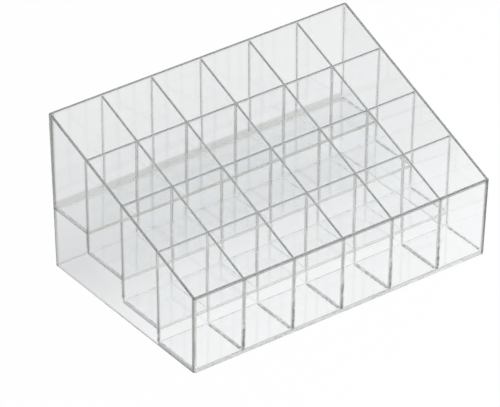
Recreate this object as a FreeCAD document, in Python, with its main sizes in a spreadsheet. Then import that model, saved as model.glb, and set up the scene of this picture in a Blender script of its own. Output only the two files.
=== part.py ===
import FreeCAD, Part
import os
import Sketcher

# Clear vanity organizer: six columns by four rows of open-top compartments on stepped floors.
# It is made of clear sheet panels. The dividers are slotted into each other like an egg crate,
# and a thin line of cement joins every panel to its neighbours.
# Millimetres and degrees. X runs along the front to the right, Y from front to back, Z up.
# The origin lies on the table, under the middle of the rim.

COLUMNS = 6
ROWS = 4

DIMENSIONS = [
    ("rim_length", 145.0, "outer length along the top of the back panel"),
    ("rim_depth", 95.0, "outer depth from the top of the front panel to the top of the back panel"),
    ("back_height", 70.0, "height of the back panel"),
    ("front_height", 35.0, "height of the front panel"),
    ("wall_lean", 1.2, "outward lean of the four outer panels, in degrees"),
    ("wall_thickness", 1.2, "thickness of the four outer panels, measured level"),
    ("corner_round", 1.0, "radius of the outer upright corners"),
    ("rim_round", 0.4, "radius of the edges along the tops of the walls and dividers"),
    ("divider_thickness", 1.0, "thickness of the row and column dividers"),
    ("divider_drop", 0.5, "drop of the divider tops below the rim"),
    ("floor_thickness", 1.5, "thickness of the floors"),
    ("front_step", 6.7, "rise from the front floor to the lower middle floor"),
    ("middle_step", 10.2, "rise from the lower middle floor to the upper middle floor"),
    ("rear_step", 9.1, "rise from the upper middle floor to the rear floor"),
    ("slot_clearance", 0.05, "clearance on each side of a divider in its slot"),
    ("cement_gap", 0.05, "thickness of the cement line between two panels"),
]

doc = FreeCAD.newDocument("vanity_organizer")
sheet = doc.addObject("Spreadsheet::Sheet", "Dims")
for line, (alias, value, meaning) in enumerate(DIMENSIONS, 1):
    sheet.set(f"A{line}", meaning)
    sheet.set(f"B{line}", str(value))
    sheet.setAlias(f"B{line}", alias)
doc.recompute()

# Inside of the box: its length and depth at the rim, and how far its faces come in lower down.
GAP = "Dims.cement_gap"
INNER_LENGTH = "(Dims.rim_length - 2 * Dims.wall_thickness)"
INNER_DEPTH = "(Dims.rim_depth - 2 * Dims.wall_thickness)"
LEAN = "tan(Dims.wall_lean)"


def side_face(z):
    """Distance of a side panel's inner face from the middle, at height z."""
    return f"({INNER_LENGTH} / 2 - (Dims.back_height - {z}) * {LEAN})"


def back_face(z):
    """Y of the back panel's inner face at height z."""
    return f"({INNER_DEPTH} / 2 - (Dims.back_height - {z}) * {LEAN})"


def front_face(z):
    """Y of the front panel's inner face at height z."""
    return f"((Dims.front_height - {z}) * {LEAN} - {INNER_DEPTH} / 2)"


# The divider tops follow the sloping rim, a little below it.
BACK_TOP = "(Dims.back_height - Dims.divider_drop)"
FRONT_TOP = "(Dims.front_height - Dims.divider_drop)"


def divider_top(y):
    """Height of the divider tops at depth y."""
    return f"({FRONT_TOP} + ({y} + {INNER_DEPTH} / 2) * ({BACK_TOP} - {FRONT_TOP}) / {INNER_DEPTH})"


# Dividers stand at even spacing between the inner faces. Rows are numbered from the back,
# columns from the left, and divider k stands in front of row k.
COLUMN_X = [f"({INNER_LENGTH} * {column - COLUMNS / 2} / {COLUMNS})" for column in range(1, COLUMNS)]
ROW_Y = [f"({INNER_DEPTH} * {ROWS / 2 - row} / {ROWS})" for row in range(1, ROWS)]
HALF_DIVIDER = "Dims.divider_thickness / 2"
HALF_SLOT = "(Dims.divider_thickness / 2 + Dims.slot_clearance)"

# Top of each row's floor, from the back. The front floor lies on the table.
FRONT_FLOOR = "Dims.floor_thickness"
LOWER_FLOOR = f"({FRONT_FLOOR} + Dims.front_step)"
UPPER_FLOOR = f"({LOWER_FLOOR} + Dims.middle_step)"
REAR_FLOOR = f"({UPPER_FLOOR} + Dims.rear_step)"
FLOOR_TOPS = [REAR_FLOOR, UPPER_FLOOR, LOWER_FLOOR, FRONT_FLOOR]

# Where a row and a column divider cross, each is slotted half way between the floor and the top.
LAP_HEIGHTS = [f"(({floor} + {divider_top(y)}) / 2)" for floor, y in zip(FLOOR_TOPS, ROW_Y)]

bodies = []


def add_panel(label, plane_role, corners, thickness):
    """Adds a body with one flat outline on an origin plane, padded to a thickness."""
    body = doc.addObject("PartDesign::Body", label)
    body.Label = label
    bodies.append(body)
    sketch = body.newObject("Sketcher::SketchObject", label + "_outline")
    plane = next(feature for feature in body.Origin.OriginFeatures if feature.Role == plane_role)
    sketch.AttachmentSupport = [(plane, "")]
    sketch.MapMode = "FlatFace"
    points = [FreeCAD.Vector(*(float(sheet.evalExpression(text)) for text in corner)) for corner in corners]
    count = len(points)
    for number in range(count):
        sketch.addGeometry(Part.LineSegment(points[number], points[(number + 1) % count]), False)
    for number in range(count):
        sketch.addConstraint(Sketcher.Constraint("Coincident", number, 2, (number + 1) % count, 1))
    for number, (corner, point) in enumerate(zip(corners, points)):
        across = sketch.addConstraint(Sketcher.Constraint("DistanceX", -1, 1, number, 1, point.x))
        sketch.setExpression(f"Constraints[{across}]", corner[0])
        along = sketch.addConstraint(Sketcher.Constraint("DistanceY", -1, 1, number, 1, point.y))
        sketch.setExpression(f"Constraints[{along}]", corner[1])
    pad = body.newObject("PartDesign::Pad", label + "_pad")
    pad.Profile = sketch
    pad.setExpression("Length", thickness)
    return body, sketch, pad


def lean_panel(sketch, pad, outward, tilt):
    """Leans a panel's outline about its foot and pads it level, so that its foot stays flat."""
    sketch.AttachmentOffset = FreeCAD.Placement(FreeCAD.Vector(), FreeCAD.Rotation(FreeCAD.Vector(1, 0, 0), 1))
    sketch.setExpression("AttachmentOffset.Rotation.Angle", f"{tilt} * Dims.wall_lean")
    pad.UseCustomVector = True
    pad.Direction = outward
    pad.AlongSketchNormal = False


def on_lean(z):
    """Distance up a leaning panel's face that reaches height z."""
    return f"{z} / cos(Dims.wall_lean)"


def round_corners(body, pad, outward):
    """Rounds the two upright edges at the ends of a panel's outer face."""
    doc.recompute()
    middle = pad.Shape.CenterOfMass
    names = []
    for number, edge in enumerate(pad.Shape.Edges, 1):
        rise = abs(edge.Vertexes[0].Z - edge.Vertexes[1].Z)
        if rise > edge.Length / 2 and (edge.CenterOfMass - middle).dot(outward) > 0:
            names.append(f"Edge{number}")
    fillet = body.newObject("PartDesign::Fillet", body.Label + "_corners")
    fillet.Base = (pad, names)
    fillet.setExpression("Radius", "min(Dims.corner_round; Dims.wall_thickness - Dims.cement_gap)")
    return fillet


def round_rim(body, base, thickness):
    """Rounds the long edges along the top of a panel, so that the rim isn't sharp to the hand."""
    doc.recompute()
    shape = base.Shape
    rim = shape.BoundBox.ZMax - 0.1
    tops = [face for face in shape.Faces if face.normalAt(0, 0).z > 0.5 and face.BoundBox.ZMax > rim]
    shortest = 4 * float(sheet.evalExpression(thickness))
    long_edges = [edge for face in tops for edge in face.Edges if edge.Length > shortest]
    names = []
    for number, edge in enumerate(shape.Edges, 1):
        if any(edge.isSame(long_edge) for long_edge in long_edges):
            names.append(f"Edge{number}")
    fillet = body.newObject("PartDesign::Fillet", body.Label + "_rim")
    fillet.Base = (base, names)
    fillet.setExpression("Radius", f"min(Dims.rim_round; 0.4 * {thickness})")


# Back and front panels: full length, ends cut to the lean of the sides, outer corners rounded.
def add_end_panel(label, height, foot, outward, tilt):
    foot_half = f"({side_face('0')} + Dims.wall_thickness)"
    top_half = f"({side_face(height)} + Dims.wall_thickness)"
    corners = [
        (f"-{foot_half}", "0"),
        (foot_half, "0"),
        (top_half, on_lean(height)),
        (f"-{top_half}", on_lean(height)),
    ]
    body, sketch, pad = add_panel(label, "XZ_Plane", corners, "Dims.wall_thickness")
    lean_panel(sketch, pad, outward, tilt)
    cornered = round_corners(body, pad, outward)
    round_rim(body, cornered, "Dims.wall_thickness")
    body.setExpression("Placement.Base.y", foot)


add_end_panel("back_panel", "Dims.back_height", back_face("0"), FreeCAD.Vector(0, 1, 0), -1)
add_end_panel("front_panel", "Dims.front_height", front_face("0"), FreeCAD.Vector(0, -1, 0), 1)


# Side panels: between the back and front panels, with the sloping top edge flush with both.
def add_side_panel(label, side):
    corners = [
        (f"{front_face('0')} + {GAP}", "0"),
        (f"{back_face('0')} - {GAP}", "0"),
        (f"{back_face('Dims.back_height')} - {GAP}", on_lean("Dims.back_height")),
        (f"{front_face('Dims.front_height')} + {GAP}", on_lean("Dims.front_height")),
    ]
    body, sketch, pad = add_panel(label, "YZ_Plane", corners, "Dims.wall_thickness")
    lean_panel(sketch, pad, FreeCAD.Vector(side, 0, 0), side)
    round_rim(body, pad, "Dims.wall_thickness")
    body.setExpression("Placement.Base.x", f"{side} * {side_face('0')}")


add_side_panel("left_side_panel", -1)
add_side_panel("right_side_panel", 1)


# Floors: one strip per row between the side panels. Each ends behind the divider in front of it,
# and reaches back under the divider that stands on its rear edge.
def add_floor(label, top, front_edge, rear_edge):
    underside = f"({top} - Dims.floor_thickness)"
    half = f"({side_face(underside)} - {GAP})"
    corners = [
        (f"-{half}", front_edge),
        (half, front_edge),
        (half, rear_edge),
        (f"-{half}", rear_edge),
    ]
    body = add_panel(label, "XY_Plane", corners, "Dims.floor_thickness")[0]
    body.setExpression("Placement.Base.z", underside)


rear_edges = [f"{back_face(f'({REAR_FLOOR} - Dims.floor_thickness)')} - {GAP}"]
rear_edges += [f"{y} + {HALF_DIVIDER}" for y in ROW_Y]
front_edges = [f"{y} + {HALF_DIVIDER} + {GAP}" for y in ROW_Y]
front_edges.append(f"{front_face('0')} + {GAP}")
FLOOR_LABELS = ["rear_floor", "upper_middle_floor", "lower_middle_floor", "front_floor"]
for label, top, front_edge, rear_edge in zip(FLOOR_LABELS, FLOOR_TOPS, front_edges, rear_edges):
    add_floor(label, top, front_edge, rear_edge)


# Row dividers: from side to side, standing on the lower of their two floors, slotted from the top.
def add_row_divider(label, y, lower_floor, lap):
    foot = f"({lower_floor} + {GAP})"
    top = divider_top(y)
    foot_half = f"({side_face(foot)} - {GAP})"
    top_half = f"({side_face(top)} - {GAP})"
    corners = [(f"-{top_half}", top), (f"-{foot_half}", foot), (foot_half, foot), (top_half, top)]
    for x in reversed(COLUMN_X):
        corners += [
            (f"{x} + {HALF_SLOT}", top),
            (f"{x} + {HALF_SLOT}", lap),
            (f"{x} - {HALF_SLOT}", lap),
            (f"{x} - {HALF_SLOT}", top),
        ]
    body, sketch, pad = add_panel(label, "XZ_Plane", corners, "Dims.divider_thickness")
    pad.SideType = "Symmetric"
    round_rim(body, pad, "Dims.divider_thickness")
    body.setExpression("Placement.Base.y", y)


ROW_LABELS = ["rear_row_divider", "middle_row_divider", "front_row_divider"]
for label, y, lower_floor, lap in zip(ROW_LABELS, ROW_Y, FLOOR_TOPS[1:], LAP_HEIGHTS):
    add_row_divider(label, y, lower_floor, lap)


# Column dividers: from back to front, with the sloping top and a foot stepped like the floors,
# slotted from below over the row dividers.
def add_column_divider(label, x):
    rear_foot = f"({REAR_FLOOR} + {GAP})"
    front_foot = f"({FRONT_FLOOR} + {GAP})"
    corners = [
        (f"{front_face(front_foot)} + {GAP}", front_foot),
        (f"{front_face(FRONT_TOP)} + {GAP}", FRONT_TOP),
        (f"{back_face(BACK_TOP)} - {GAP}", BACK_TOP),
        (f"{back_face(rear_foot)} - {GAP}", rear_foot),
    ]
    for y, upper_floor, lower_floor, lap in zip(ROW_Y, FLOOR_TOPS, FLOOR_TOPS[1:], LAP_HEIGHTS):
        slot_end = f"{lap} + Dims.slot_clearance"
        corners += [
            (f"{y} + {HALF_SLOT}", f"{upper_floor} + {GAP}"),
            (f"{y} + {HALF_SLOT}", slot_end),
            (f"{y} - {HALF_SLOT}", slot_end),
            (f"{y} - {HALF_SLOT}", f"{lower_floor} + {GAP}"),
        ]
    body, sketch, pad = add_panel(label, "YZ_Plane", corners, "Dims.divider_thickness")
    pad.SideType = "Symmetric"
    round_rim(body, pad, "Dims.divider_thickness")
    body.setExpression("Placement.Base.x", x)


for number, x in enumerate(COLUMN_X, 1):
    add_column_divider(f"column_divider_{number}", x)

# Every object must have recomputed, and every panel must be one valid solid, before it is written.
doc.recompute()
for item in doc.Objects:
    if "Invalid" in item.State or "Error" in item.State:
        raise RuntimeError(f"{item.Label} did not recompute: {item.State}")
for body in bodies:
    if body.Shape.isNull() or not body.Shape.isValid() or len(body.Shape.Solids) != 1:
        raise RuntimeError(f"{body.Label} is not one valid solid")
os.makedirs("parts", exist_ok=True)
for body in bodies:
    body.Shape.exportStep(os.path.join("parts", body.Label + ".step"))
    print(f"{body.Label}: {body.Shape.Volume:.1f} cubic mm")
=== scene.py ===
import math

import bpy
from mathutils import Matrix, Vector


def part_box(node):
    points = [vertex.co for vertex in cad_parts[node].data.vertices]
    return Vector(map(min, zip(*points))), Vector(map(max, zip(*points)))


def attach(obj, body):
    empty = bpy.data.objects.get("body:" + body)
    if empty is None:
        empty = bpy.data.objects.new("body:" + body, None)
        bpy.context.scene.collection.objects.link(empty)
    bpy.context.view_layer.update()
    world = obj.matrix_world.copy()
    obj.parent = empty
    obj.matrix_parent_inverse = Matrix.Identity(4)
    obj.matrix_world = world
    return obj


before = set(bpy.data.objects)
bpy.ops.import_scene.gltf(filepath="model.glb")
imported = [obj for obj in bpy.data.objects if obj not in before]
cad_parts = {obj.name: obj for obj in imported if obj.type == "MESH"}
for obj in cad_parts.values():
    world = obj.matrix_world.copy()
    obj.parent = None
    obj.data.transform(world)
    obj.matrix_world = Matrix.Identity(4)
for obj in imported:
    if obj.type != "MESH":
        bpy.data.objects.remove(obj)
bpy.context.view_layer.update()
bpy.ops.object.select_all(action="DESELECT")


# Floors: four strips of water-clear plastic sheet, each a step lower than the one behind it.
# The sheet is glossy, with a faint swell left by forming and a light haze from handling.
# A soft warm grey line of painted shade is mixed into the colour along every joint and edge.
MM = 0.001
COLUMN_STEP = 23.767 * MM
ROW_STEP = 23.15 * MM
FLOOR_LENGTH = 142.0 * MM
REAR_FLOOR_BACK = 45.6 * MM
REAR_FLOOR_FRONT = 23.7 * MM
RIM_SLOPE = 0.378
RIM_BAND = 0.8 * MM
RIM_ROUGHNESS = 0.2
SWELL_SCALE = 90.0
SWELL_DEPTH = 0.004 * MM
HAZE_SCALE = 60.0
GAP_SCALE = 550.0
RIPPLE_SCALE = 380.0
JOINT_SHADE_WARMTH = 0.02
PLASTIC_IOR = 1.56
FLOOR_NAMES = ("rear_floor", "upper_middle_floor", "lower_middle_floor", "front_floor")
ALONG_X = (1.0, 0.0, 0.0)
ALONG_Y = (0.0, 1.0, 0.0)
ALONG_Z = (0.0, 0.0, 1.0)
NO_FOOT = (-1.0, 0.0)
SINGLE_LINE = 1.0
FULL_HEIGHT = 10.0


def new_group(name, inputs, outputs):
    group = bpy.data.node_groups.new(name, "ShaderNodeTree")
    kinds = {"value": "NodeSocketFloat", "colour": "NodeSocketColor", "vector": "NodeSocketVector"}
    for socket_name, kind, start in inputs:
        socket = group.interface.new_socket(socket_name, in_out="INPUT", socket_type=kinds[kind])
        socket.default_value = start
    for socket_name, kind in outputs:
        group.interface.new_socket(socket_name, in_out="OUTPUT", socket_type=kinds[kind])
    given = group.nodes.new("NodeGroupInput")
    result = group.nodes.new("NodeGroupOutput")
    return group, given.outputs, result.inputs


def plug(tree, value, socket):
    if isinstance(value, bpy.types.NodeSocket):
        tree.links.new(value, socket)
    else:
        socket.default_value = value


def calculate(tree, operation, first, second=0.0):
    node = tree.nodes.new("ShaderNodeMath")
    node.operation = operation
    plug(tree, first, node.inputs[0])
    plug(tree, second, node.inputs[1])
    return node.outputs["Value"]


def remap(tree, value, low, high, to_low, to_high):
    node = tree.nodes.new("ShaderNodeMapRange")
    node.interpolation_type = "SMOOTHSTEP"
    plug(tree, value, node.inputs["Value"])
    for name, number in (("From Min", low), ("From Max", high), ("To Min", to_low), ("To Max", to_high)):
        plug(tree, number, node.inputs[name])
    return node.outputs["Result"]


def mix_colours(tree, share, first, second):
    node = tree.nodes.new("ShaderNodeMix")
    node.data_type = "RGBA"
    plug(tree, share, node.inputs["Factor"])
    plug(tree, first, node.inputs[6])
    plug(tree, second, node.inputs[7])
    return node.outputs[2]


def object_place(tree):
    return tree.nodes.new("ShaderNodeTexCoord").outputs["Object"]


def split_place(tree):
    node = tree.nodes.new("ShaderNodeSeparateXYZ")
    tree.links.new(object_place(tree), node.inputs["Vector"])
    return node.outputs


def distance_along(tree, place, direction):
    node = tree.nodes.new("ShaderNodeVectorMath")
    node.operation = "DOT_PRODUCT"
    plug(tree, place, node.inputs[0])
    plug(tree, direction, node.inputs[1])
    return node.outputs["Value"]


def noise(tree, scale, detail):
    node = tree.nodes.new("ShaderNodeTexNoise")
    node.inputs["Scale"].default_value = scale
    node.inputs["Detail"].default_value = detail
    tree.links.new(object_place(tree), node.inputs["Vector"])
    return node.outputs["Fac"]


def build_sheet_surface():
    group, given, result = new_group(
        "clear_sheet_surface",
        [
            ("Haze Low", "value", 0.0),
            ("Haze High", "value", 0.03),
            ("Thin Tint", "colour", (0.992, 0.996, 0.998, 1.0)),
            ("Full Tint", "colour", (0.98, 0.987, 0.99, 1.0)),
        ],
        [("Tint", "colour"), ("Roughness", "value"), ("Height", "value")],
    )
    swell = noise(group, SWELL_SCALE, 1.0)
    haze = noise(group, HAZE_SCALE, 4.0)
    roughness = remap(group, haze, 0.35, 0.7, given["Haze Low"], given["Haze High"])
    group.links.new(mix_colours(group, swell, given["Thin Tint"], given["Full Tint"]), result["Tint"])
    group.links.new(roughness, result["Roughness"])
    group.links.new(swell, result["Height"])
    return group


# Painted shade: a mask along the top edge where the rim's shade colour is mixed into the sheet's colour.
def build_rim_shade():
    group, given, result = new_group(
        "rounded_rim_shade",
        [("Rim Height", "value", 0.0)],
        [("Mask", "value")],
    )
    place = split_place(group)
    rise = calculate(group, "MULTIPLY", place["Y"], RIM_SLOPE)
    rim = calculate(group, "ADD", rise, given["Rim Height"])
    below = calculate(group, "SUBTRACT", rim, place["Z"])
    share = calculate(group, "DIVIDE", below, RIM_BAND)
    group.links.new(remap(group, share, 0.55, 1.0, 1.0, 0.0), result["Mask"])
    return group


# Painted shade: a grey line mixed into the sheet's colour along a joint or an edge, broken into dashes
# by noise.
def build_painted_joint_shade():
    group, given, result = new_group(
        "painted_joint_shade",
        [
            ("Direction", "vector", ALONG_X),
            ("Spacing", "value", COLUMN_STEP),
            ("Start", "value", 0.0),
            ("Half Width", "value", 0.6 * MM),
            ("Foot Height", "value", NO_FOOT[0]),
            ("Foot Slope", "value", NO_FOOT[1]),
            ("Reach", "value", FULL_HEIGHT),
            ("Gap Strength", "value", 1.0),
        ],
        [("Mask", "value"), ("Height", "value")],
    )
    across = distance_along(group, object_place(group), given["Direction"])
    from_start = calculate(group, "SUBTRACT", across, given["Start"])
    steps = calculate(group, "DIVIDE", from_start, given["Spacing"])
    past_nearest = calculate(group, "SUBTRACT", steps, calculate(group, "ROUND", steps))
    away = calculate(group, "MULTIPLY", calculate(group, "ABSOLUTE", past_nearest), given["Spacing"])
    line = remap(group, calculate(group, "DIVIDE", away, given["Half Width"]), 0.4, 1.0, 1.0, 0.0)
    place = split_place(group)
    rise = calculate(group, "MULTIPLY", place["Y"], given["Foot Slope"])
    foot = calculate(group, "ADD", rise, given["Foot Height"])
    above_foot = calculate(group, "SUBTRACT", place["Z"], foot)
    line = calculate(group, "MULTIPLY", line, remap(group, above_foot, -0.3 * MM, 0.3 * MM, 0.0, 1.0))
    reached = calculate(group, "DIVIDE", above_foot, given["Reach"])
    line = calculate(group, "MULTIPLY", line, remap(group, reached, 0.5, 1.0, 1.0, 0.0))
    broken = remap(group, noise(group, GAP_SCALE, 2.0), 0.43, 0.56, given["Gap Strength"], 1.0)
    ripple = noise(group, RIPPLE_SCALE, 1.0)
    group.links.new(calculate(group, "MULTIPLY", line, broken), result["Mask"])
    group.links.new(calculate(group, "MULTIPLY", line, ripple), result["Height"])
    return group


sheet_surface = build_sheet_surface()
rim_shade = build_rim_shade()
painted_joint_shade = build_painted_joint_shade()


# A cement line spec is a line of painted shade: its tint is mixed into the sheet's colour.
def cement(
        direction, half_width, tint, spacing=SINGLE_LINE, start=0.0, foot=NO_FOOT, reach=FULL_HEIGHT,
        gap_strength=1.0, rough=0.05, ripple=0.0):
    return {
        "Direction": direction,
        "Spacing": spacing,
        "Start": start,
        "Half Width": half_width,
        "Foot Height": foot[0],
        "Foot Slope": foot[1],
        "Reach": reach,
        "Gap Strength": gap_strength,
        "tint": (tint, tint, tint - JOINT_SHADE_WARMTH, 1.0),
        "rough": rough,
        "ripple": ripple,
    }


def make_clear_plastic(name, haze, seams=(), rim=None, tints=None):
    plastic = bpy.data.materials.new(name)
    plastic.use_nodes = True
    tree = plastic.node_tree
    tree.nodes.clear()
    link = tree.links.new
    surface = tree.nodes.new("ShaderNodeGroup")
    surface.node_tree = sheet_surface
    surface.inputs["Haze Low"].default_value = haze[0]
    surface.inputs["Haze High"].default_value = haze[1]
    if tints:
        surface.inputs["Thin Tint"].default_value = tints[0]
        surface.inputs["Full Tint"].default_value = tints[1]
    tint = surface.outputs["Tint"]
    roughness = surface.outputs["Roughness"]
    height = surface.outputs["Height"]
    # Each seam paints its line of shade into the colour and adds roughness and ripple there.
    for seam in seams:
        lines = tree.nodes.new("ShaderNodeGroup")
        lines.node_tree = painted_joint_shade
        for socket in lines.inputs:
            socket.default_value = seam[socket.name]
        tint = mix_colours(tree, lines.outputs["Mask"], tint, seam["tint"])
        roughened = calculate(tree, "MULTIPLY", lines.outputs["Mask"], seam["rough"])
        roughness = calculate(tree, "ADD", roughness, roughened)
        raised = calculate(tree, "MULTIPLY", lines.outputs["Height"], seam["ripple"])
        height = calculate(tree, "ADD", height, raised)
    # The rim's painted shade is mixed into the colour near the top edge.
    if rim:
        rim_height, rim_painted_shade = rim
        edge = tree.nodes.new("ShaderNodeGroup")
        edge.node_tree = rim_shade
        edge.inputs["Rim Height"].default_value = rim_height
        tint = mix_colours(tree, edge.outputs["Mask"], tint, rim_painted_shade)
        roughened = calculate(tree, "MULTIPLY", edge.outputs["Mask"], RIM_ROUGHNESS)
        roughness = calculate(tree, "ADD", roughness, roughened)
    body = tree.nodes.new("ShaderNodeBsdfPrincipled")
    body.inputs["Transmission Weight"].default_value = 1.0
    body.inputs["IOR"].default_value = PLASTIC_IOR
    link(tint, body.inputs["Base Color"])
    link(roughness, body.inputs["Roughness"])
    swell = tree.nodes.new("ShaderNodeBump")
    swell.inputs["Strength"].default_value = 1.0
    swell.inputs["Distance"].default_value = SWELL_DEPTH
    link(height, swell.inputs["Height"])
    link(swell.outputs["Normal"], body.inputs["Normal"])

    lets_lamps_through = tree.nodes.new("ShaderNodeBsdfTransparent")
    lets_lamps_through.inputs["Color"].default_value = (0.935, 0.938, 0.94, 1.0)
    path = tree.nodes.new("ShaderNodeLightPath")
    lamp_side = calculate(tree, "MAXIMUM", path.outputs["Is Shadow Ray"], path.outputs["Is Diffuse Ray"])
    either = tree.nodes.new("ShaderNodeMixShader")
    link(lamp_side, either.inputs["Fac"])
    link(body.outputs["BSDF"], either.inputs[1])
    link(lets_lamps_through.outputs["BSDF"], either.inputs[2])
    depth = tree.nodes.new("ShaderNodeVolumeAbsorption")
    depth.inputs["Color"].default_value = (0.55, 0.60, 0.60, 1.0)
    depth.inputs["Density"].default_value = 6.0
    output = tree.nodes.new("ShaderNodeOutputMaterial")
    link(either.outputs["Shader"], output.inputs["Surface"])
    link(depth.outputs["Volume"], output.inputs["Volume"])
    return plastic


def finish_panels(names, plastic):
    for name in names:
        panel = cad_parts[name]
        panel.data.materials.clear()
        panel.data.materials.append(plastic)


floor_haze = (0.01, 0.06)
foot_line = cement(ALONG_X, 1.0 * MM, 0.96, spacing=COLUMN_STEP, gap_strength=0.6, ripple=40.0)
back_edge_line = cement(ALONG_Y, 3.0 * MM, 0.76, start=REAR_FLOOR_BACK)
step_edge_line = cement(ALONG_Y, 1.5 * MM, 0.9, start=REAR_FLOOR_FRONT)
# The rear floor gets a greyer tint than the other floors, which is painted shade.
rear_floor_plastic = make_clear_plastic(
    "clear_rear_floor_plastic", floor_haze, [back_edge_line, step_edge_line, foot_line],
    tints=((0.95, 0.955, 0.96, 1.0), (0.87, 0.875, 0.88, 1.0)))
finish_panels(FLOOR_NAMES[:1], rear_floor_plastic)
end_dash_line = cement(
    ALONG_X, 1.2 * MM, 0.4, spacing=FLOOR_LENGTH, start=0.5 * FLOOR_LENGTH, foot=(0.0, 0.0),
    reach=25.0 * MM, gap_strength=0.0, ripple=40.0)
middle_edge_line = cement(ALONG_Y, 2.0 * MM, 0.97, spacing=ROW_STEP)
middle_floor_plastic = make_clear_plastic(
    "clear_middle_floor_plastic", floor_haze, [middle_edge_line, foot_line, end_dash_line])
finish_panels(FLOOR_NAMES[1:3], middle_floor_plastic)
front_foot_line = cement(ALONG_X, 1.0 * MM, 0.85, spacing=COLUMN_STEP, gap_strength=0.6, ripple=40.0)
front_floor_plastic = make_clear_plastic(
    "clear_front_floor_plastic", floor_haze, [front_foot_line, end_dash_line])
finish_panels(FLOOR_NAMES[3:], front_floor_plastic)


# Outer walls: four leaning panels of the same clear sheet around the floors, with rounded corners.
# The top edges are polished round. Their grey is painted shade along the top edge, standing in for the
# dim light they gather from above.
# A line of painted shade shows where a divider or a floor meets a wall, broken into dashes near its
# foot.
SIDE_SEAM = 46.5 * MM
END_SEAM = 71.6 * MM
stepped_floors = (9.4 * MM, 0.365)
rear_floor_foot = (27.0 * MM, 0.0)
rear_floor_level = 28.0 * MM
front_floor_top = 1.5 * MM
front_floor_foot = (front_floor_top, 0.0)
wall_haze = (0.0, 0.02)
wall_rim_height = 52.5 * MM
# Painted shade for the top edges: almost none on sloping rims, grey on level rims, dark on the front
# rim.
sloping_rim_painted_shade = (0.97, 0.98, 0.98, 1.0)
level_rim_painted_shade = (0.65, 0.66, 0.66, 1.0)
front_rim_painted_shade = (0.31, 0.31, 0.3, 1.0)
# The corner lines are painted shade, in different greys at the left and right ends, darkest at the left
# back and the right front.
left_front_painted_shade = 0.88
right_front_painted_shade = 0.55
left_back_painted_shade = 0.47
right_back_painted_shade = 0.88
row_line = cement(ALONG_Y, 0.6 * MM, 0.74, spacing=ROW_STEP, foot=stepped_floors)
bottom_edge_line = cement(ALONG_Z, 0.8 * MM, 0.64)
row_dash_line = cement(
    ALONG_Y, 0.9 * MM, 0.35, spacing=ROW_STEP, foot=stepped_floors, reach=15.0 * MM,
    gap_strength=0.0, ripple=24.0)
# The side panels get a greyer tint than the front and back panels, which is painted shade.
side_painted_shade_tints = ((0.975, 0.983, 0.987, 1.0), (0.945, 0.955, 0.96, 1.0))
for panel_name, back_width, back_painted_shade, front_painted_shade in (
    ("left_side_panel", 3.0 * MM, left_back_painted_shade, left_front_painted_shade),
    ("right_side_panel", 1.6 * MM, right_back_painted_shade, right_front_painted_shade),
):
    side_back_line = cement(ALONG_Y, back_width, back_painted_shade, start=SIDE_SEAM, rough=0.1)
    side_front_line = cement(ALONG_Y, 1.6 * MM, front_painted_shade, start=-SIDE_SEAM, rough=0.1)
    side_plastic = make_clear_plastic(
        "clear_%s_plastic" % panel_name, wall_haze,
        [row_line, row_dash_line, bottom_edge_line, side_front_line, side_back_line],
        (wall_rim_height, sloping_rim_painted_shade), side_painted_shade_tints)
    finish_panels([panel_name], side_plastic)
front_left_line = cement(ALONG_X, 1.9 * MM, left_front_painted_shade, start=-END_SEAM, rough=0.1)
front_right_line = cement(ALONG_X, 1.9 * MM, right_front_painted_shade, start=END_SEAM, rough=0.1)
front_line = cement(
    ALONG_X, 0.75 * MM, 0.78, spacing=COLUMN_STEP, foot=front_floor_foot, gap_strength=0.6, ripple=24.0)
front_dash_line = cement(
    ALONG_X, 0.8 * MM, 0.35, spacing=COLUMN_STEP, foot=front_floor_foot, reach=18.0 * MM,
    gap_strength=0.0, ripple=24.0)
front_floor_line = cement(ALONG_Z, 0.45 * MM, 0.62, start=front_floor_top)
front_plastic = make_clear_plastic(
    "clear_front_plastic", wall_haze,
    [front_line, front_dash_line, front_floor_line, front_left_line, front_right_line],
    (wall_rim_height, front_rim_painted_shade))
finish_panels(["front_panel"], front_plastic)
back_line = cement(ALONG_X, 0.5 * MM, 0.82, spacing=COLUMN_STEP, foot=rear_floor_foot)
back_left_line = cement(ALONG_X, 1.9 * MM, left_back_painted_shade, start=-END_SEAM, rough=0.1)
back_right_line = cement(ALONG_X, 1.9 * MM, right_back_painted_shade, start=END_SEAM, rough=0.1)
back_foot_line = cement(ALONG_Z, 2.2 * MM, 0.76, start=rear_floor_level)
back_plastic = make_clear_plastic(
    "clear_back_plastic", wall_haze,
    [back_line, back_foot_line, bottom_edge_line, back_left_line, back_right_line],
    (wall_rim_height, level_rim_painted_shade))
finish_panels(["back_panel"], back_plastic)


# Row dividers: three clear uprights across the full width, one at each step of the floors.
# The upper floor of the step is cemented to the back of the divider part of the way up,
# and the column dividers pass through its slots.
ROW_NAMES = ("rear_row_divider", "middle_row_divider", "front_row_divider")
HALF_FLOOR = 0.75 * MM
divider_haze = (0.0, 0.03)
divider_rim_height = 52.0 * MM
# The lines where the columns cross and where the floor meets the divider are painted shade.
cross_line = cement(ALONG_X, 0.55 * MM, 0.84, spacing=COLUMN_STEP)
for floor_name, row_name in zip(FLOOR_NAMES, ROW_NAMES):
    shelf_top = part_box(floor_name)[1].z
    shelf_line = cement(ALONG_Z, 1.3 * MM, 0.98, start=shelf_top - HALF_FLOOR)
    row_plastic = make_clear_plastic(
        "clear_%s_plastic" % row_name, divider_haze, [cross_line, shelf_line],
        (divider_rim_height, level_rim_painted_shade))
    finish_panels([row_name], row_plastic)


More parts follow.
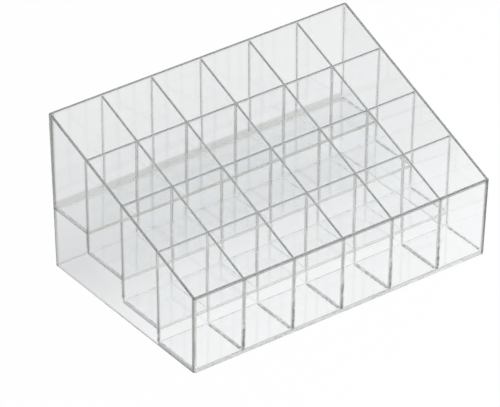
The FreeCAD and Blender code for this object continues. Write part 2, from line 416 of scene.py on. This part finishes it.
# Column dividers: five clear uprights from the back wall to the front wall.
# They have a sloping top and a stepped foot, and are slotted over the row dividers,
# so a pair of fine lines of painted shade runs down every crossing.
COLUMN_NAMES = ["column_divider_%d" % number for number in range(1, 6)]
slot_line = cement(ALONG_Y, 0.55 * MM, 0.84, spacing=ROW_STEP)
column_plastic = make_clear_plastic(
    "clear_column_plastic", divider_haze, [slot_line], (divider_rim_height, sloping_rim_painted_shade))
finish_panels(COLUMN_NAMES, column_plastic)


# Cement fillets: a bead of clear cement runs down the corners and along the feet of a compartment.
# It sets as a slim hollow-faced fillet that follows the wall. It is coloured a little greyer than the
# sheet, and that grey is painted shade.
# Corner fillets are drawn even, and foot fillets are run by hand and stay a little lumpy.
CORNER_SIZE = 0.3 * MM
FOOT_SIZE = 0.9 * MM
FOOT_RINGS = 28
FOOT_MEAN = 0.72
FOOT_WAVE = 0.14
LONG_WAVE = 43.0
SHORT_WAVE = 71.0
FAR_SIDE = 0.9
CLEARANCE = 0.03 * MM
BELOW_RIM = 0.5 * MM
WALL_LEAN = math.tan(math.radians(1.2))
WHOLE_WIDTH = 10.0
COLUMNS = 6
LAST_COLUMN = COLUMNS - 1
LAST_ROW = len(FLOOR_NAMES) - 1
cement_haze = (0.05, 0.15)
fillet_shade_tints = ((0.82, 0.82, 0.81, 1.0), (0.66, 0.66, 0.65, 1.0))
even_cement = make_clear_plastic("clear_even_cement", cement_haze, tints=fillet_shade_tints)
# The foot fillets get patchy painted shade along their whole width.
lumpy_line = cement(ALONG_X, WHOLE_WIDTH, 0.64, gap_strength=0.1, ripple=14.0)
lumpy_cement = make_clear_plastic("clear_lumpy_cement", cement_haze, [lumpy_line])


def select_edges(bar, is_wanted):
    for part in (bar.data.vertices, bar.data.edges, bar.data.polygons):
        part.foreach_set("select", [False] * len(part))
    for edge in bar.data.edges:
        first, second = [bar.data.vertices[number].co for number in edge.vertices]
        edge.select = is_wanted(first, second)
    bpy.ops.object.mode_set(mode="EDIT")
    bpy.ops.mesh.select_mode(type="EDGE")


def model_fillet(name, plastic):
    bpy.ops.object.select_all(action="DESELECT")
    bpy.ops.mesh.primitive_cube_add(size=1.0, location=(0.5, 0.5, 0.5))
    bar = bpy.context.active_object
    bar.name = name
    bpy.ops.object.transform_apply(location=True, rotation=True, scale=True)
    select_edges(bar, lambda first, second: min(first.x, first.y, second.x, second.y) > FAR_SIDE)
    bpy.ops.mesh.bevel(offset=0.94, segments=4, profile=0.08, affect="EDGES")
    bpy.ops.object.mode_set(mode="OBJECT")
    bar.data.materials.append(plastic)
    return bar


corner_fillet = model_fillet("corner_fillet", even_cement)
foot_fillet = model_fillet("foot_fillet", lumpy_cement)
select_edges(foot_fillet, lambda first, second: abs(first.z - second.z) > FAR_SIDE)
bpy.ops.mesh.subdivide(number_cuts=FOOT_RINGS)
bpy.ops.object.mode_set(mode="OBJECT")
for vertex in foot_fillet.data.vertices:
    unevenness = math.sin(LONG_WAVE * vertex.co.z) + math.sin(SHORT_WAVE * vertex.co.z + 1.0)
    vertex.co.x *= FOOT_MEAN + FOOT_WAVE * unevenness
    vertex.co.y *= FOOT_MEAN + FOOT_WAVE * unevenness


def copy_fillet(fillet, corner, first_side, second_side, run):
    piece = fillet.copy()
    piece.data = fillet.data.copy()
    bpy.context.collection.objects.link(piece)
    columns = Matrix((first_side, second_side, run)).transposed().to_4x4()
    piece.data.transform(Matrix.Translation(corner) @ columns)
    return piece


def fill_compartment(name, low, high, leans, feet):
    pieces = []
    for side_x, corner_x in ((1.0, low.x), (-1.0, high.x)):
        into_x = Vector((side_x, 0.0, 0.0))
        for side_y, corner_y in ((1.0, low.y), (-1.0, high.y)):
            into_y = Vector((0.0, side_y, 0.0))
            corner = Vector((corner_x, corner_y, low.z)) + (into_x + into_y) * CLEARANCE
            corner.z += FOOT_SIZE + 2.0 * CLEARANCE
            rise = divider_rim_height + RIM_SLOPE * corner_y - BELOW_RIM - corner.z
            run = Vector((-side_x * leans[(side_x, 0)], -side_y * leans[(0, side_y)], 1.0)) * rise
            sides = (into_x * CORNER_SIZE, into_y * CORNER_SIZE)
            pieces.append(copy_fillet(corner_fillet, corner, *sides, run))
        if side_x not in feet:
            continue
        foot = Vector((corner_x + side_x * CLEARANCE, low.y + FOOT_SIZE, low.z + CLEARANCE))
        length = Vector((0.0, high.y - low.y - 2.0 * FOOT_SIZE, 0.0))
        upwards = Vector((0.0, 0.0, FOOT_SIZE))
        pieces.append(copy_fillet(foot_fillet, foot, into_x * FOOT_SIZE, upwards, length))
    bpy.ops.object.select_all(action="DESELECT")
    for piece in pieces:
        piece.select_set(True)
    bpy.context.view_layer.objects.active = pieces[0]
    bpy.ops.object.join()
    fillets = bpy.context.active_object
    fillets.name = name
    bpy.ops.object.mode_set(mode="EDIT")
    bpy.ops.mesh.select_all(action="SELECT")
    bpy.ops.mesh.normals_make_consistent(inside=False)
    bpy.ops.object.mode_set(mode="OBJECT")
    bpy.ops.object.shade_smooth_by_angle(angle=math.radians(40.0))
    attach(fillets, "root")


for row, floor_name in enumerate(FLOOR_NAMES):
    floor_low, floor_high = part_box(floor_name)
    rear_y = floor_high.y if row == 0 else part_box(ROW_NAMES[row - 1])[0].y
    front_y = floor_low.y if row == LAST_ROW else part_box(ROW_NAMES[row])[1].y
    for column in range(COLUMNS):
        left_x = floor_low.x if column == 0 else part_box(COLUMN_NAMES[column - 1])[1].x
        right_x = floor_high.x if column == LAST_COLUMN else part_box(COLUMN_NAMES[column])[0].x
        leans = {
            (1.0, 0): WALL_LEAN if column == 0 else 0.0,
            (-1.0, 0): WALL_LEAN if column == LAST_COLUMN else 0.0,
            (0, 1.0): WALL_LEAN if row == LAST_ROW else 0.0,
            (0, -1.0): WALL_LEAN if row == 0 else 0.0,
        }
        fill_compartment(
            "cement_fillets_row%d_column%d" % (row + 1, column + 1),
            Vector((left_x, front_y, floor_high.z)),
            Vector((right_x, rear_y, floor_high.z)),
            leans,
            [side for side in (1.0, -1.0) if row == LAST_ROW or leans[(side, 0)]],
        )
bpy.data.objects.remove(corner_fillet, do_unlink=True)
bpy.data.objects.remove(foot_fillet, do_unlink=True)


# Table: a plain pale sheet under the organizer, matt and evenly lit, that runs out to white.
# Seen through the plastic it glows brightest in front and dimmer behind: a painted pool of light,
# a white glow mixed in for rays through the plastic that fades out behind.
TABLE_DROP = 0.2 * MM
TABLE_SIZE = 12.0
WHITE_TO_CAMERA = 0.97
WHITE_IN_GLOSS = 0.3
PAINTED_LIGHT_IN_FRONT = 0.95
BRIGHT_UP_TO = -0.04
DIM_FROM = 0.085
bpy.ops.object.select_all(action="DESELECT")
bpy.ops.mesh.primitive_plane_add(size=TABLE_SIZE, location=(0.0, 0.0, -TABLE_DROP))
table = bpy.context.active_object
table.name = "table"
bpy.ops.object.transform_apply(location=True, rotation=True, scale=True)
pale_sheet = bpy.data.materials.new("pale_sheet")
pale_sheet.use_nodes = True
tree = pale_sheet.node_tree
tree.nodes.clear()
matt = tree.nodes.new("ShaderNodeBsdfDiffuse")
matt.inputs["Color"].default_value = (0.8, 0.8, 0.8, 1.0)
white = tree.nodes.new("ShaderNodeEmission")
white.inputs["Color"].default_value = (1.0, 1.0, 1.0, 1.0)
white.inputs["Strength"].default_value = 1.0
seen = tree.nodes.new("ShaderNodeLightPath")
# Painted light: the white glow seen through the plastic is strong in front and fades out behind.
painted_front_light = remap(tree, split_place(tree)["Y"], BRIGHT_UP_TO, DIM_FROM, PAINTED_LIGHT_IN_FRONT, 0.0)
by_camera = calculate(tree, "MULTIPLY", seen.outputs["Is Camera Ray"], WHITE_TO_CAMERA)
by_clear = calculate(tree, "MULTIPLY", seen.outputs["Is Transmission Ray"], painted_front_light)
by_gloss = calculate(tree, "MULTIPLY", seen.outputs["Is Glossy Ray"], WHITE_IN_GLOSS)
white_share = calculate(tree, "MAXIMUM", by_camera, calculate(tree, "MAXIMUM", by_clear, by_gloss))
sheet_mix = tree.nodes.new("ShaderNodeMixShader")
tree.links.new(white_share, sheet_mix.inputs["Fac"])
tree.links.new(matt.outputs["BSDF"], sheet_mix.inputs[1])
tree.links.new(white.outputs["Emission"], sheet_mix.inputs[2])
sheet_output = tree.nodes.new("ShaderNodeOutputMaterial")
tree.links.new(sheet_mix.outputs["Shader"], sheet_output.inputs["Surface"])
table.data.materials.append(pale_sheet)


# Studio: a dim room with a pale ring near the horizon and a white paper sweep behind the organizer.
# A soft lamp overhead and a soft key lamp at the front right light the table.
# The clear panels need many passes of light before a ray that runs inside a sheet comes out again.
DIM_ROOM = (0.42, 0.42, 0.42, 1.0)
WHITE = (1.0, 1.0, 1.0, 1.0)
SWEEP_SIDE = (0.6, 0.8, 0.0)
AIM = Vector((0.0, 0.0, 0.03))
MANY_PASSES = 400
SHADOW_PASSES = 128
room = bpy.data.worlds.new("studio_room")
bpy.context.scene.world = room
room.use_nodes = True
tree = room.node_tree
tree.nodes.clear()
outlook = tree.nodes.new("ShaderNodeTexCoord").outputs["Generated"]
upward = distance_along(tree, outlook, ALONG_Z)
behind = distance_along(tree, outlook, SWEEP_SIDE)
horizon = remap(tree, upward, 0.15, 0.45, 1.0, 0.0)
sweep_height = remap(tree, upward, 0.58, 0.8, 1.0, 0.0)
sweep_width = remap(tree, behind, 0.1, 0.5, 0.0, 1.0)
sweep = calculate(tree, "MULTIPLY", sweep_height, sweep_width)
pale_share = calculate(tree, "MAXIMUM", horizon, sweep)
room_light = tree.nodes.new("ShaderNodeBackground")
tree.links.new(mix_colours(tree, pale_share, DIM_ROOM, WHITE), room_light.inputs["Color"])
room_white = tree.nodes.new("ShaderNodeBackground")
room_white.inputs["Color"].default_value = WHITE
room_seen = tree.nodes.new("ShaderNodeLightPath")
room_mix = tree.nodes.new("ShaderNodeMixShader")
tree.links.new(room_seen.outputs["Is Camera Ray"], room_mix.inputs["Fac"])
tree.links.new(room_light.outputs["Background"], room_mix.inputs[1])
tree.links.new(room_white.outputs["Background"], room_mix.inputs[2])
room_output = tree.nodes.new("ShaderNodeOutputWorld")
tree.links.new(room_mix.outputs["Shader"], room_output.inputs["Surface"])


def add_softbox(name, place, size, power, mirrored):
    bpy.ops.object.light_add(type="AREA", location=place)
    lamp = bpy.context.active_object
    lamp.name = name
    lamp.data.shape = "SQUARE"
    lamp.data.size = size
    lamp.data.energy = power
    lamp.visible_glossy = mirrored
    lamp.visible_transmission = mirrored
    towards = AIM - Vector(place)
    lamp.rotation_euler = towards.to_track_quat("-Z", "Y").to_euler()


add_softbox("overhead_softbox", (0.1, -0.25, 1.2), 0.7, 1.8, True)
add_softbox("key_softbox", (0.35, -0.45, 0.7), 0.4, 4.45, False)
cycles = bpy.context.scene.cycles
cycles.max_bounces = MANY_PASSES
cycles.transmission_bounces = MANY_PASSES
cycles.glossy_bounces = MANY_PASSES
cycles.transparent_max_bounces = SHADOW_PASSES
bpy.context.scene.view_settings.view_transform = "Standard"


# Camera: a long lens at the front left, looking down on the organizer as the photograph does.
# The picture is 500 by 407, and the lens is given by how many of its pixels one radian covers.
PIXELS_PER_RADIAN = 4717.96
PICTURE_WIDTH = 500.0
SENSOR_WIDTH = 36.0
AIM_LEFT = 0.008053
AIM_DOWN = 0.003484
azimuth = math.radians(-36.971)
elevation = math.radians(32.825)
roll = math.radians(0.561)
distance = 1.847464
back = Vector((
    math.sin(azimuth) * math.cos(elevation),
    -math.cos(azimuth) * math.cos(elevation),
    math.sin(elevation),
))
level_right = Vector((math.cos(azimuth), math.sin(azimuth), 0.0))
level_up = back.cross(level_right)
right = level_right * math.cos(roll) + level_up * math.sin(roll)
up = level_up * math.cos(roll) - level_right * math.sin(roll)
look_at = AIM - right * AIM_LEFT - up * AIM_DOWN
stand = look_at + back * distance
bpy.ops.object.camera_add()
camera = bpy.context.active_object
camera.name = "photograph_camera"
camera.data.sensor_width = SENSOR_WIDTH
camera.data.sensor_fit = "HORIZONTAL"
camera.data.lens = PIXELS_PER_RADIAN / PICTURE_WIDTH * SENSOR_WIDTH
camera.data.clip_end = 20.0
camera.matrix_world = Matrix((
    (right.x, up.x, back.x, stand.x),
    (right.y, up.y, back.y, stand.y),
    (right.z, up.z, back.z, stand.z),
    (0.0, 0.0, 0.0, 1.0),
))
bpy.context.scene.camera = camera
